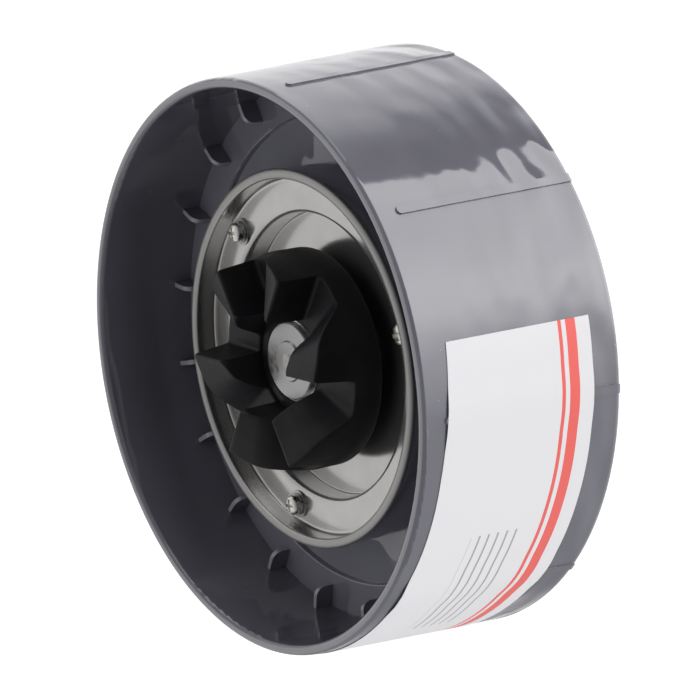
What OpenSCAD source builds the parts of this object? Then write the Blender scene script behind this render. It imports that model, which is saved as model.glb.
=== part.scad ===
// Blade assembly for a kitchen blender jar, in millimetres.
// It stands on its wide jar-side rim with the drive side up. Z is the axis of the blades' shaft,
// Z = 0 is the jar-side rim, and the steep flanks of the coupling's dogs lie on multiples of 60 degrees.
// Looked at from the drive side, the blades turn anticlockwise.

/* [Collar] */
// Height of the collar from rim to rim
collar_h = 48.9; // [47:0.1:56]
// Outer diameter at the drive-side rim
drive_rim_d = 126; // [118:0.5:140]
// Outward draft of the wall on each side, from the drive-side rim to the jar-side rim
wall_draft = 2.7; // [2.2:0.1:4]
// Wall thickness at the drive-side rim
drive_wall = 2.4; // [1.8:0.1:3]
// Wall thickness at the jar-side rim
jar_wall = 3.4; // [3:0.1:4]
// Depth of the jar side, from its rim to the web
jar_side_depth = 20.2; // [19.6:0.1:23]
// Thickness of the web between the two sides
web_t = 2.3; // [2:0.1:3]
// Drop from the outer floor of the drive side to its inner floor
floor_step_h = 1.4; // [0.6:0.1:2]
// Width of the outer floor, from the wall to that step
outer_floor_w = 8.3; // [7.4:0.1:11]

/* [Grip ribs] */
// Number of raised ribs round the outside
rib_count = 9; // [3:1:18]
// Width of a rib
rib_w = 1.9; // [1:0.1:4]
// Height of a rib above the wall
rib_h = 0.35; // [0.2:0.05:1.5]
// Distance from the drive-side rim to the round end of a rib
rib_start = 5.3; // [3:0.1:20]

/* [Gusset fins] */
// Number of fins in the corner between wall and outer floor
fin_count = 20; // [4:1:36]
// Thickness of a fin
fin_t = 1.1; // [0.8:0.1:2]
// Reach of a fin from the wall towards the axis
fin_reach = 5.2; // [4:0.1:7]
// Height of a fin above the outer floor
fin_h = 4.5; // [3.5:0.1:8]
// Radius of the round corner of a fin
fin_corner_r = 2.3; // [1:0.1:3]

/* [Boss] */
// Height of the boss above the inner floor
boss_h = 12.8; // [12:0.1:16]
// Wall thickness of the boss
boss_wall = 1.2; // [1:0.1:2]
// Diameter of a screw post
post_d = 6.2; // [5.6:0.1:6.4]
// Wall thickness of the two rings inside the boss
ledge_wall = 1.4; // [1:0.1:2]

/* [Jar thread and gasket seat] */
// Number of thread ridges inside the jar-side skirt
thread_starts = 4; // [2:1:6]
// Height of a ridge above the bore
thread_h = 1.3; // [0.8:0.1:2]
// Axial width of a ridge at its root
thread_w = 2.6; // [2:0.1:3.4]
// Angle that one ridge spans
thread_sweep = 70; // [40:1:85]
// Axial climb of one ridge
thread_climb = 4.2; // [2:0.1:6]
// Distance from the jar-side rim to the start of a ridge
thread_start = 6.5; // [5:0.1:7.5]
// Height of the ring that holds the gasket's inner edge
seat_rib_h = 3; // [2:0.1:4]
// Wall thickness of that ring
seat_rib_w = 1.5; // [1:0.1:2.4]
// Radial width of the gasket
gasket_w = 7.2; // [5:0.1:8]
// Thickness of the gasket
gasket_t = 2.2; // [1.6:0.1:3]

/* [Steel cover] */
// Thickness of the pressed sheet
sheet_t = 0.8; // [0.6:0.05:1.2]
// Overhang of the rim past the boss
cover_overhang = 0.25; // [0:0.05:1]
// Depth from the rim to the flat screw ring
cover_depth = 5.2; // [4:0.1:6]
// Inner diameter of the well
well_d = 63.4; // [54:0.2:76]
// Width of the flat ring round the well, which the screws stand on
screw_ring_w = 8; // [7.8:0.1:9]
// Inside radius of the bends
bend_r = 0.3; // [0.2:0.05:0.4]

/* [Cover screws] */
// Number of screws round the cover
screw_count = 3; // [3:1:6]
// Distance from the well's wall to the axis of a screw
screw_inset = 4.3; // [4.2:0.1:4.4]
// Angle of the first screw
screw_angle = 18; // [0:1:40]
// Nominal diameter of the screws
screw_d = 2.5; // [2:0.1:3]
// Length of the screws under the head
screw_len = 8.4; // [6:0.1:9]
// Diameter of the pan head
head_d = 4.6; // [4.2:0.1:5.5]
// Height of the pan head
head_h = 1.8; // [1.4:0.1:2.4]
// Outer diameter of the spring washer
spring_washer_d = 5; // [4.6:0.1:5.6]
// Thickness of the spring washer
spring_washer_t = 0.6; // [0.4:0.05:0.9]
// Outer diameter of the flat washer
flat_washer_d = 6.2; // [5.6:0.1:6.2]
// Thickness of the flat washer
flat_washer_t = 0.5; // [0.3:0.05:0.8]

/* [Bearing housing] */
// Diameter of the housing's flange
flange_d = 39; // [36:0.5:46]
// Thickness of that flange
flange_t = 1.6; // [1.2:0.1:2]
// Outer diameter of the barrel on the jar side
barrel_d = 25.8; // [24.6:0.1:28]
// Length of the barrel below the flange
barrel_h = 9.25; // [9:0.05:9.6]
// Outer diameter of the neck on the drive side
neck_d = 22; // [21:0.1:24]
// Height of the neck above the flange
neck_h = 4.1; // [3.6:0.1:4.8]
// Diameter of the bore that holds the bushes
bush_seat_d = 14; // [13:0.1:15]
// Diameter of the pocket that holds the shaft seal
seal_seat_d = 17.2; // [16.6:0.1:18.4]
// Depth of the seal and its retaining ring from the jar-side end
seal_seat_h = 3.5; // [3.3:0.1:3.8]

/* [Bushes and seals] */
// Length of the drive-side bush below its flange
drive_bush_h = 5.4; // [5:0.1:5.8]
// Diameter of the drive-side bush's flange
bush_flange_d = 19; // [17:0.1:20.6]
// Thickness of the drive-side bush's flange
bush_flange_t = 0.8; // [0.6:0.1:1.2]
// Length of the jar-side bush
jar_bush_h = 3.9; // [3.4:0.1:4.2]
// Height of the lip seal
shaft_seal_h = 2.2; // [2:0.1:2.3]
// Thickness of the seal's retaining ring
circlip_t = 0.7; // [0.5:0.05:0.9]
// Section of the ring seal round the barrel
ring_seal_t = 1.4; // [1:0.05:1.8]

/* [Shaft] */
// Diameter of the shaft in its bushes
shaft_d = 8; // [7:0.1:9]
// Diameter of the drive-side journal through the coupling
journal_d = 5.2; // [4.6:0.1:6]
// Diameter of the section that carries the blades
blade_seat_d = 7; // [6.4:0.1:7.6]
// Distance across the two flats of that section
blade_seat_flats = 5.6; // [5:0.1:6.4]
// Diameter of the thread for the nut
nut_thread_d = 5; // [4:0.1:5.4]
// Diameter of the riveted head that holds the front washer
rivet_d = 9.2; // [7:0.1:10]
// Height of that head
rivet_h = 0.45; // [0.3:0.05:1]
// Diameter of the punch mark in the head
punch_d = 3.8; // [2:0.1:5]
// Depth of the punch mark
punch_depth = 0.6; // [0.2:0.1:1]

/* [Drive coupling] */
// Outer diameter of the rubber coupling
coupling_d = 48.5; // [44:0.5:56]
// Height of the coupling's base below the gaps
coupling_base_h = 7.5; // [7:0.1:9]
// Height of the dogs above the gaps
dog_h = 10.1; // [7:0.1:10.6]
// Number of dogs
dog_count = 6; // [3:1:8]
// Inward lean of the dogs' outside at their tips
dog_taper = 0.95; // [0:0.05:2]
// Diameter of the recess for the washers
recess_d = 19; // [18:0.1:22]
// Radius of the round inner corner of the dogs
dog_corner_r = 2.6; // [1:0.1:3.5]
// Diameter of the steel insert's hub
insert_d = 14; // [12:0.5:17]
// Diameter of the flange that the rubber is moulded round
insert_flange_d = 32; // [24:0.5:38]
// Thickness of that flange
insert_flange_t = 1.2; // [0.8:0.1:2]
// Outer diameter of the two washers in the recess
washer_d = 17.06; // [15:0.02:17.8]
// Thickness of each of the two washers
washer_t = 1.15; // [0.8:0.05:1.4]

/* [Blades] */
// Thickness of the blades
blade_t = 1.5; // [1.2:0.1:1.8]
// Width of a blade's arm at the bend
arm_w = 12; // [10:0.2:14]
// Width of a blade's arm at the tip
arm_tip_w = 6.5; // [4:0.1:9]
// Distance from the axis to the bend
bend_at = 12.5; // [11:0.1:15]
// Length of the lower blade's arm past the bend
lower_arm = 22; // [16:0.5:25]
// Length of the upper blade's arm past the bend
upper_arm = 14.5; // [10:0.5:15]
// Angle of the lower blade's arms, towards the web
lower_bend_angle = 13; // [6:1:15]
// Angle of the upper blade's arms, into the jar
upper_bend_angle = 22; // [12:1:23]
// Width of the ground bevel along a cutting edge
bevel_w = 2.6; // [1.5:0.1:4]
// Diameter of the spacer and the washer between the blades and the nut
spacer_d = 14; // [12:0.5:17]
// Thickness of the spacer between the blades
spacer_t = 1; // [0.6:0.1:1.4]
// Diameter of the slinger washer under the housing
slinger_d = 17; // [14:0.5:20]
// Thickness of the slinger, thrust and blade washers
thin_washer_t = 0.8; // [0.6:0.05:0.9]
// Distance across the flats of the nut
nut_flats = 10; // [9:0.1:12]
// Height of the nut's hexagon
nut_hex_h = 3; // [2.4:0.1:3.2]
// Height of the nut's dome
nut_dome_h = 1.7; // [1:0.1:1.8]

/* [Clearances] */
// Radial running clearance of the shaft
run_gap = 0.03; // [0.01:0.01:0.08]
// Radial clearance of pieces that are put together by hand
slip_gap = 0.1; // [0.05:0.01:0.15]
// Radial clearance left where pieces are pressed or screwed together
press_gap = 0.02; // [0.01:0.01:0.03]
// Axial play of the shaft
end_play = 0.1; // [0.05:0.01:0.2]

/* [Hidden] */
$fn = 96;

// One overrun serves all cuts, and one small sink joins what is moulded in one
over = 0.5;
sink = 0.3;
turn = 360;

// Levels of the collar, from the jar side up
drive_rim_r = drive_rim_d / 2;
jar_rim_r = drive_rim_r + wall_draft;
drive_bore_r = drive_rim_r - drive_wall;
jar_bore_r = jar_rim_r - jar_wall;
lip_r = drive_wall / 2;
inner_floor_z = jar_side_depth + web_t;
outer_floor_z = inner_floor_z + floor_step_h;
flange_z = inner_floor_z;
flange_top_z = flange_z + flange_t;
step_r = drive_bore_r - outer_floor_w;
step_edge_r = floor_step_h / 3;
gasket_in_r = jar_bore_r - slip_gap - gasket_w;

// Cover and the boss that it sits on: radii on the inside of the sheet, from the well outwards, and levels
well_r = well_d / 2;
cover_wall_r = well_r + screw_ring_w;
boss_r = cover_wall_r + sheet_t + slip_gap + boss_wall;
boss_top_z = inner_floor_z + boss_h;
boss_chamfer = bend_r + 2 * slip_gap;
cover_rim_r = boss_r + cover_overhang;
cover_top_z = boss_top_z + sheet_t;
ring_z = cover_top_z - cover_depth;
well_z = flange_top_z + sheet_t;
ledge_r = well_r + sheet_t + bend_r + slip_gap;
screw_r = well_r + screw_inset;
washer_hole_gap = 0.15;
recess_depth_share = 0.55;
recess_length_share = 0.6;
recess_width_share = 0.16;
coil_gap = 0.5;

// Housing and what is in it
barrel_z = flange_z - barrel_h;
neck_z = flange_top_z + neck_h;
seal_seat_z = barrel_z + seal_seat_h;
seal_z = seal_seat_z - shaft_seal_h;
circlip_z = seal_z - circlip_t;
circlip_depth = 0.6;
circlip_reach = 1.8;
circlip_slit = 5;
groove_z = flange_z - web_t / 2;
groove_w = ring_seal_t + 2 * slip_gap;
felt_gap = 0.3;
lip_gap = 0.05;
lip_t = 0.9;

// Rotor, from the drive-side bush up
thrust_z = neck_z + bush_flange_t + end_play;
coupling_z = thrust_z + thin_washer_t;
gap_z = coupling_z + coupling_base_h;
tip_z = gap_z + dog_h;
coupling_flush = 0.1;
back_washer_z = gap_z + coupling_flush - 2 * washer_t;
front_washer_z = back_washer_z + washer_t;
front_z = front_washer_z + washer_t;
coupling_r = coupling_d / 2;
coupling_edge_r = 0.8;
washer_chamfer = 0.25;
rivet_edge_share = 0.7;
insert_flange_z = coupling_z + insert_flange_t;

// Rotor, from the housing down
slinger_gap = 0.6;
slinger_z = barrel_z - slinger_gap - thin_washer_t;
lower_blade_z = slinger_z - blade_t;
spacer_z = lower_blade_z - spacer_t;
upper_blade_z = spacer_z - blade_t;
blade_washer_z = upper_blade_z - thin_washer_t;
nut_thread_z = blade_washer_z - nut_hex_h;
blade_bend_r = 1.5;
blade_hub_r = 9;
edge_t = 0.2;
nut_step = 0.6;
nut_cap_r = nut_flats / 2 - nut_step;

// Dog profile in shares of the pitch, from the foot of the steep flank: its crest and the end of the ramp.
// The ramp has a flat slope, given as a share of the steep one, until the knee bends it over.
crest_at_share = 0.037;
ramp_end_share = 0.675;
flat_slope_share = 0.277;
knee_shares = [0.44, 0.78];
ramp_steps = 16;
// Width of a thread ridge at its crest, in shares of its root width
crest_share = 0.45;

// Fall along the ramp, where t runs from 0 at the crest to 1 at the foot
function ramp_fall(t) =
    let (k0 = knee_shares[0], k1 = knee_shares[1], q = flat_slope_share,
         bent = t < k0 ? 0 : t < k1 ? (t - k0) * (t - k0) / (2 * (k1 - k0)) : t - (k0 + k1) / 2)
    q * t + (1 - q) * bent;

// Cuts round one dog: share of the pitch and share of the dog's height
function dog_cuts() =
    concat([[0, 0]], [for (k = [0 : ramp_steps])
        let (t = k / ramp_steps)
        [crest_at_share + (ramp_end_share - crest_at_share) * t, 1 - ramp_fall(t) / ramp_fall(1)]]);

module at_angles(count, first = 0) {
    for (k = [0 : count - 1]) rotate([0, 0, first + k * turn / count]) children();
}

// A flat ring or disc between two levels
module disc(r, z, h, hole = 0) {
    translate([0, 0, z]) difference() {
        cylinder(r = r, h = h);
        if (hole > 0) translate([0, 0, -over]) cylinder(r = hole, h = h + 2 * over);
    }
}

// Rectangle of a turned section, given by its two radii and its two levels
module block(r0, r1, z0, z1) {
    translate([r0, z0]) square([r1 - r0, z1 - z0]);
}

// Quarter bend of a sheet in a turned section: centre, quadrant, inside radius and thickness
module quarter(r, z, quadrant, inside, t) {
    translate([r, z]) rotate(quadrant * turn / 4) intersection() {
        difference() {
            circle(r = inside + t);
            circle(r = inside);
        }
        square(inside + t);
    }
}

// Hole with two flats that keeps blades and washers from turning on the shaft
module double_d(r, flats, h) {
    intersection() {
        cylinder(r = r, h = h);
        translate([-r, -flats / 2, 0]) cube([2 * r, flats, h]);
    }
}

// Turned outline of the moulding: skirt with its round lip, web, floor step, boss and gasket ring
module collar_section() {
    polygon([[jar_bore_r, 0], [jar_rim_r, 0], [drive_rim_r, collar_h - lip_r],
             [drive_bore_r, collar_h - lip_r], [drive_bore_r, jar_side_depth], [jar_bore_r, jar_side_depth]]);
    translate([drive_bore_r + lip_r, collar_h - lip_r]) circle(r = lip_r);
    block(barrel_d / 2 + slip_gap, jar_bore_r + sink, jar_side_depth, inner_floor_z);
    block(step_r, drive_bore_r + sink, inner_floor_z - sink, outer_floor_z - step_edge_r);
    block(step_r + step_edge_r, drive_bore_r + sink, inner_floor_z, outer_floor_z);
    translate([step_r + step_edge_r, outer_floor_z - step_edge_r]) circle(r = step_edge_r);
    boss_in_r = boss_r - boss_wall;
    polygon([[boss_in_r, inner_floor_z - sink], [boss_r, inner_floor_z - sink], [boss_r, boss_top_z],
             [boss_in_r + boss_chamfer, boss_top_z], [boss_in_r, boss_top_z - boss_chamfer]]);
    block(ledge_r, ledge_r + ledge_wall, inner_floor_z - sink, ring_z - sheet_t);
    block(flange_d / 2 + slip_gap, flange_d / 2 + slip_gap + ledge_wall, inner_floor_z - sink,
          flange_top_z - slip_gap);
    block(gasket_in_r - slip_gap - seat_rib_w, gasket_in_r - slip_gap, jar_side_depth - seat_rib_h,
          jar_side_depth + sink);
}

// Gusset fins in the corner between the wall and the outer floor
module fins() {
    at_angles(fin_count) translate([0, fin_t / 2, 0]) rotate([90, 0, 0]) linear_extrude(fin_t) {
        in_r = drive_bore_r - fin_reach;
        top_z = outer_floor_z + fin_h;
        block(in_r, drive_bore_r + sink, outer_floor_z - sink, top_z - fin_corner_r);
        block(in_r + fin_corner_r, drive_bore_r + sink, outer_floor_z - sink, top_z);
        translate([in_r + fin_corner_r, top_z - fin_corner_r]) circle(r = fin_corner_r);
    }
}

// Raised ribs that run down the outside to the jar-side rim, each with a round upper end
module ribs() {
    rib_top_z = collar_h - rib_start;
    intersection() {
        cylinder(r1 = jar_rim_r + rib_h, r2 = drive_rim_r + rib_h, h = collar_h);
        at_angles(rib_count) translate([jar_bore_r + sink, 0, 0]) rotate([90, 0, 90])
            linear_extrude(jar_wall + 2 * rib_h) {
                translate([-rib_w / 2, 0]) square([rib_w, rib_top_z - rib_w / 2]);
                translate([0, rib_top_z - rib_w / 2]) circle(d = rib_w);
            }
    }
}

// One ridge of the jar thread: a ring segment, tilted about the line from the axis to its middle
module thread_ridge() {
    tilt = atan(thread_climb / (2 * jar_bore_r * sin(thread_sweep / 2)));
    root = thread_w / 2;
    crest = root * crest_share;
    translate([0, 0, thread_start + thread_climb / 2]) rotate([tilt, 0, 0]) rotate([0, 0, -thread_sweep / 2])
        rotate_extrude(angle = thread_sweep)
            polygon([[jar_bore_r + sink, -root], [jar_bore_r - thread_h, -crest],
                     [jar_bore_r - thread_h, crest], [jar_bore_r + sink, root]]);
}

module collar() {
    color("#6b6b72") difference() {
        union() {
            rotate_extrude() collar_section();
            fins();
            ribs();
            at_angles(screw_count, screw_angle) translate([screw_r, 0, inner_floor_z - sink])
                cylinder(d = post_d, h = ring_z - sheet_t - inner_floor_z + sink);
            at_angles(thread_starts) thread_ridge();
        }
        at_angles(screw_count, screw_angle) translate([screw_r, 0, ring_z - screw_len])
            cylinder(d = screw_d + 2 * press_gap, h = screw_len);
    }
}

// Flat rubber ring with two sealing beads, between the web and the jar's rim
module jar_gasket() {
    bead_r = gasket_t / 5;
    color("#d8d8d4") rotate_extrude() {
        block(gasket_in_r, jar_bore_r - slip_gap, jar_side_depth - gasket_t + bead_r, jar_side_depth);
        for (s = [1, 2]) translate([gasket_in_r + s * gasket_w / 3, jar_side_depth - gasket_t + bead_r])
            circle(r = bead_r);
    }
}

// Section of the pressed cover: rim, side wall, screw ring, well wall and floor, joined by four bends
module cover_section() {
    b = bend_r;
    t = sheet_t;
    edge_r = t / 2;
    block(cover_wall_r + t + b, cover_rim_r - edge_r, boss_top_z, cover_top_z);
    translate([cover_rim_r - edge_r, boss_top_z + edge_r]) circle(r = edge_r);
    quarter(cover_wall_r + t + b, boss_top_z - b, 1, b, t);
    block(cover_wall_r, cover_wall_r + t, ring_z + b, boss_top_z - b);
    quarter(cover_wall_r - b, ring_z + b, 3, b, t);
    block(well_r + b, cover_wall_r - b, ring_z - t, ring_z);
    quarter(well_r + t + b, ring_z - t - b, 1, b, t);
    block(well_r, well_r + t, well_z + b, ring_z - t - b);
    quarter(well_r - b, well_z + b, 3, b, t);
    block(neck_d / 2 + 2 * slip_gap, well_r - b, well_z - t, well_z);
}

module steel_cover() {
    color("#c9c9c9") difference() {
        rotate_extrude() cover_section();
        at_angles(screw_count, screw_angle) translate([screw_r, 0, ring_z - sheet_t - over])
            cylinder(d = screw_d + 2 * washer_hole_gap, h = sheet_t + 2 * over);
    }
}

// Pan-head screw with a cross recess, its head's underside at level zero
module pan_screw() {
    dome_r = head_h * recess_depth_share;
    slot = [head_d * recess_length_share, head_d * recess_width_share, head_h];
    difference() {
        union() {
            translate([0, 0, -screw_len]) cylinder(d = screw_d, h = screw_len + sink);
            rotate_extrude() {
                square([head_d / 2, head_h - dome_r]);
                square([head_d / 2 - dome_r, head_h]);
                intersection() {
                    translate([head_d / 2 - dome_r, head_h - dome_r]) circle(r = dome_r);
                    square([head_d / 2, head_h]);
                }
            }
        }
        for (a = [0, turn / 4]) rotate([0, 0, a])
            translate([-slot[0] / 2, -slot[1] / 2, head_h * (1 - recess_depth_share)]) cube(slot);
    }
}

module cover_screws() {
    color("#e0e0e0") at_angles(screw_count, screw_angle)
        translate([screw_r, 0, ring_z + flat_washer_t + spring_washer_t]) pan_screw();
}

module spring_washers() {
    color("#b5b5b5") at_angles(screw_count, screw_angle) translate([screw_r, 0, 0]) difference() {
        disc(spring_washer_d / 2, ring_z + flat_washer_t, spring_washer_t, screw_d / 2 + washer_hole_gap);
        translate([0, -coil_gap / 2, ring_z]) cube([spring_washer_d, coil_gap, head_h]);
    }
}

module flat_washers() {
    color("#c0c0c0") at_angles(screw_count, screw_angle) translate([screw_r, 0, 0])
        disc(flat_washer_d / 2, ring_z, flat_washer_t, screw_d / 2 + washer_hole_gap);
}

// Turned housing: neck, flange that the cover clamps, and barrel with its grooves
module bearing_housing() {
    seat_r = bush_seat_d / 2;
    groove_r = barrel_d / 2 + slip_gap - ring_seal_t - 2 * press_gap;
    color("#b0b0b4") rotate_extrude() difference() {
        union() {
            block(seat_r, barrel_d / 2, barrel_z, flange_z + sink);
            block(seat_r, flange_d / 2, flange_z, flange_top_z);
            block(seat_r, neck_d / 2, flange_top_z - sink, neck_z);
        }
        block(seat_r - over, seal_seat_d / 2, barrel_z - over, seal_seat_z);
        block(seat_r, seal_seat_d / 2 + circlip_depth, circlip_z, seal_z);
        block(groove_r, barrel_d, groove_z - groove_w / 2, groove_z + groove_w / 2);
    }
}

module housing_ring_seal() {
    ring_r = barrel_d / 2 + slip_gap - ring_seal_t / 2 - press_gap;
    color("#2b2b2b") rotate_extrude() translate([ring_r, groove_z]) circle(d = ring_seal_t);
}

module drive_bush() {
    bore_r = shaft_d / 2 + run_gap;
    color("#b08d57") rotate_extrude() {
        block(bore_r, bush_seat_d / 2 - press_gap, neck_z - drive_bush_h, neck_z + sink);
        block(bore_r, bush_flange_d / 2, neck_z, neck_z + bush_flange_t);
    }
}

// Oil-soaked felt that fills the space between the two bushes
module felt_ring() {
    felt_z = seal_seat_z + jar_bush_h;
    color("#cfc7b0")
        disc(bush_seat_d / 2 - press_gap, felt_z, neck_z - drive_bush_h - felt_z, shaft_d / 2 + felt_gap);
}

module jar_bush() {
    color("#b08d57") disc(bush_seat_d / 2 - press_gap, seal_seat_z, jar_bush_h, shaft_d / 2 + run_gap);
}

// Lip seal: a cup with a lip that leans down to the shaft on the jar side
module shaft_seal() {
    seat_r = seal_seat_d / 2 - press_gap;
    lip_r0 = shaft_d / 2 + lip_gap;
    root_z = seal_seat_z - lip_t;
    color("#1f1f1f") rotate_extrude()
        polygon([[seat_r, seal_z], [seat_r, seal_seat_z], [lip_r0 + lip_t, seal_seat_z], [lip_r0, seal_z],
                 [lip_r0 + lip_t, seal_z], [lip_r0 + 2 * lip_t, root_z], [seat_r - lip_t, root_z],
                 [seat_r - lip_t, seal_z]]);
}

// Open spring ring in its groove, with the slit at the back
module seal_circlip() {
    ring_r = seal_seat_d / 2 + circlip_depth - slip_gap;
    color("#8f8f8f") difference() {
        disc(ring_r, circlip_z, circlip_t, ring_r - circlip_reach);
        translate([0, -circlip_slit / 2, circlip_z - over])
            cube([ring_r + over, circlip_slit, circlip_t + 2 * over]);
    }
}

// Stepped shaft: journal with its riveted head, bearing length, blade seat with two flats, thread
module shaft() {
    journal_r = journal_d / 2;
    rivet_r = rivet_d / 2;
    rivet_top_z = front_z + rivet_h;
    color("#c4c4c4") {
        translate([0, 0, slinger_z + thin_washer_t])
            cylinder(d = shaft_d, h = thrust_z - slinger_z - thin_washer_t);
        rotate_extrude()
            polygon([[0, thrust_z - sink], [journal_r, thrust_z - sink], [journal_r, front_z],
                     [rivet_r, front_z], [rivet_r - rivet_h * rivet_edge_share, rivet_top_z],
                     [punch_d / 2, rivet_top_z], [0, rivet_top_z - punch_depth]]);
        translate([0, 0, blade_washer_z]) double_d(blade_seat_d / 2, blade_seat_flats,
            slinger_z + thin_washer_t - blade_washer_z + sink);
        translate([0, 0, nut_thread_z]) cylinder(d = nut_thread_d, h = nut_hex_h + sink);
    }
}

// Ring of dogs as one closed surface: every cut has a flat foot, and its top follows the profile
module dog_ring() {
    pitch = turn / dog_count;
    cuts = dog_cuts();
    count = dog_count * len(cuts);
    r0 = journal_d / 2;
    r1 = coupling_r / cos(pitch * (1 - ramp_end_share) / 2) + over;
    points = [for (k = [0 : dog_count - 1]) for (s = cuts)
        let (a = pitch * (k + s[0]), z = gap_z + dog_h * s[1])
        each [[r0 * cos(a), r0 * sin(a), coupling_z], [r1 * cos(a), r1 * sin(a), coupling_z],
              [r1 * cos(a), r1 * sin(a), z], [r0 * cos(a), r0 * sin(a), z]]];
    faces = [for (k = [0 : count - 1]) for (j = [0 : 3])
        let (a = 4 * k + j, b = 4 * k + (j + 1) % 4, next = 4 * ((k + 1) % count) - 4 * k)
        each [[a, a + next, b], [b, a + next, b + next]]];
    polyhedron(points, faces);
}

// Turned envelope of the coupling: tapered outside, round bottom edge, and the funnel between the dogs
module coupling_section() {
    floor_z = back_washer_z;
    edge_z = coupling_z + coupling_edge_r;
    difference() {
        union() {
            polygon([[0, edge_z], [coupling_r, edge_z], [coupling_r, gap_z],
                     [coupling_r - dog_taper, tip_z + over], [0, tip_z + over]]);
            block(0, coupling_r - coupling_edge_r, coupling_z, gap_z);
            translate([coupling_r - coupling_edge_r, edge_z]) circle(r = coupling_edge_r);
        }
        block(0, recess_d / 2, floor_z, tip_z + 2 * over);
        difference() {
            block(0, recess_d / 2 + dog_corner_r, tip_z - dog_corner_r, tip_z + 2 * over);
            translate([recess_d / 2 + dog_corner_r, tip_z - dog_corner_r]) circle(r = dog_corner_r);
        }
    }
}

module drive_coupling() {
    color("#16161a") difference() {
        intersection() {
            rotate_extrude() coupling_section();
            dog_ring();
        }
        insert_body(insert_d / 2, insert_flange_d / 2);
    }
}

// Outside of the steel insert that the rubber is moulded round
module insert_body(hub_r, flange_r) {
    translate([0, 0, coupling_z]) cylinder(r = hub_r, h = back_washer_z - coupling_z);
    translate([0, 0, insert_flange_z]) cylinder(r = flange_r, h = insert_flange_t);
}

module coupling_insert() {
    color("#a8a8aa") difference() {
        insert_body(insert_d / 2, insert_flange_d / 2);
        translate([0, 0, coupling_z - over])
            cylinder(r = journal_d / 2 + press_gap, h = back_washer_z - coupling_z + 2 * over);
    }
}

// Washer in the recess, with both outer edges chamfered
module recess_washer(z) {
    r = washer_d / 2;
    c = washer_chamfer;
    hole_r = journal_d / 2 + press_gap;
    top_z = z + washer_t;
    color("#b9b9bd") rotate_extrude()
        polygon([[hole_r, z], [r - c, z], [r, z + c], [r, top_z - c], [r - c, top_z], [hole_r, top_z]]);
}

module back_washer() {
    recess_washer(back_washer_z);
}

module front_washer() {
    recess_washer(front_washer_z);
}

module thrust_washer() {
    color("#d0d0c8") disc(bush_flange_d / 2 - slip_gap, thrust_z, thin_washer_t, journal_d / 2 + press_gap);
}

// Cut that the shaft's flattened section passes through, in a sheet from level z up to z + t
module keyhole(z, t) {
    translate([0, 0, z - over])
        double_d(blade_seat_d / 2 + press_gap, blade_seat_flats + 2 * press_gap, t + 2 * over);
}

module keyed_washer(r, z, t) {
    difference() {
        disc(r, z, t);
        keyhole(z, t);
    }
}

module slinger_washer() {
    color("#bcbcbc") keyed_washer(slinger_d / 2, slinger_z, thin_washer_t);
}

module blade_spacer() {
    color("#bcbcbc") keyed_washer(spacer_d / 2, spacer_z, spacer_t);
}

module blade_washer() {
    color("#bcbcbc") keyed_washer(spacer_d / 2, blade_washer_z, thin_washer_t);
}

// Side view of an arm: flat root, round bend and straight tip
module arm_side(reach, angle) {
    axis_h = blade_t + blade_bend_r;
    far = 2 * axis_h;
    block(0, bend_at, 0, blade_t);
    translate([bend_at, axis_h]) {
        intersection() {
            difference() {
                circle(r = axis_h);
                circle(r = blade_bend_r);
            }
            polygon([[0, 0], [0, -far], [far * sin(angle), -far * cos(angle)]]);
        }
        rotate(angle) translate([0, -axis_h]) square([reach, blade_t]);
    }
}

// One arm along +X: bent sheet, trimmed to its plan, with a bevel ground along the leading edge
module arm(reach, angle) {
    half = arm_w / 2;
    axis_h = blade_t + blade_bend_r;
    end = bend_at + axis_h * sin(angle) + reach * cos(angle);
    difference() {
        intersection() {
            rotate([90, 0, 0]) linear_extrude(2 * arm_w, center = true) arm_side(reach + over, angle);
            linear_extrude(collar_h) polygon([[0, -half], [bend_at, -half], [end, half - arm_tip_w],
                                              [end - arm_tip_w / 4, half], [0, half]]);
        }
        translate([bend_at, 0, axis_h]) rotate([0, -angle, 0]) translate([blade_t, 0, -axis_h])
            rotate([90, 0, 90]) linear_extrude(reach + over)
                polygon([[half - bevel_w, blade_t],
                         [half + over, edge_t - over * (blade_t - edge_t) / bevel_w],
                         [half + over, blade_t + over], [half - bevel_w, blade_t + over]]);
    }
}

// Blank of a two-armed blade stamped from sheet, its arms bent towards +Z
module blade_blank(reach, angle) {
    cylinder(r = blade_hub_r, h = blade_t);
    at_angles(2) arm(reach, angle);
}

module lower_blade() {
    color("#d6d8da") difference() {
        translate([0, 0, lower_blade_z]) blade_blank(lower_arm, lower_bend_angle);
        keyhole(lower_blade_z, blade_t);
    }
}

// The upper blade's arms cross the lower ones and bend the other way
module upper_blade() {
    color("#d6d8da") difference() {
        translate([0, 0, upper_blade_z + blade_t]) rotate([0, 0, turn / 4]) mirror([0, 0, 1])
            blade_blank(upper_arm, upper_bend_angle);
        keyhole(upper_blade_z, blade_t);
    }
}

// Cap nut: hexagon against the washer and a dome over the shaft's end
module blade_nut() {
    dome_r = (nut_cap_r * nut_cap_r + nut_dome_h * nut_dome_h) / (2 * nut_dome_h);
    color("#cfcfcf") difference() {
        union() {
            translate([0, 0, nut_thread_z])
                cylinder(r = nut_flats / 2 / cos(turn / 12), h = nut_hex_h, $fn = 6);
            intersection() {
                translate([0, 0, nut_thread_z - nut_dome_h + dome_r]) sphere(r = dome_r);
                translate([0, 0, nut_thread_z - nut_dome_h]) cylinder(r = nut_cap_r, h = nut_dome_h + sink);
            }
        }
        translate([0, 0, nut_thread_z])
            cylinder(r = nut_thread_d / 2 + press_gap, h = nut_hex_h + over);
    }
}

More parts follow.
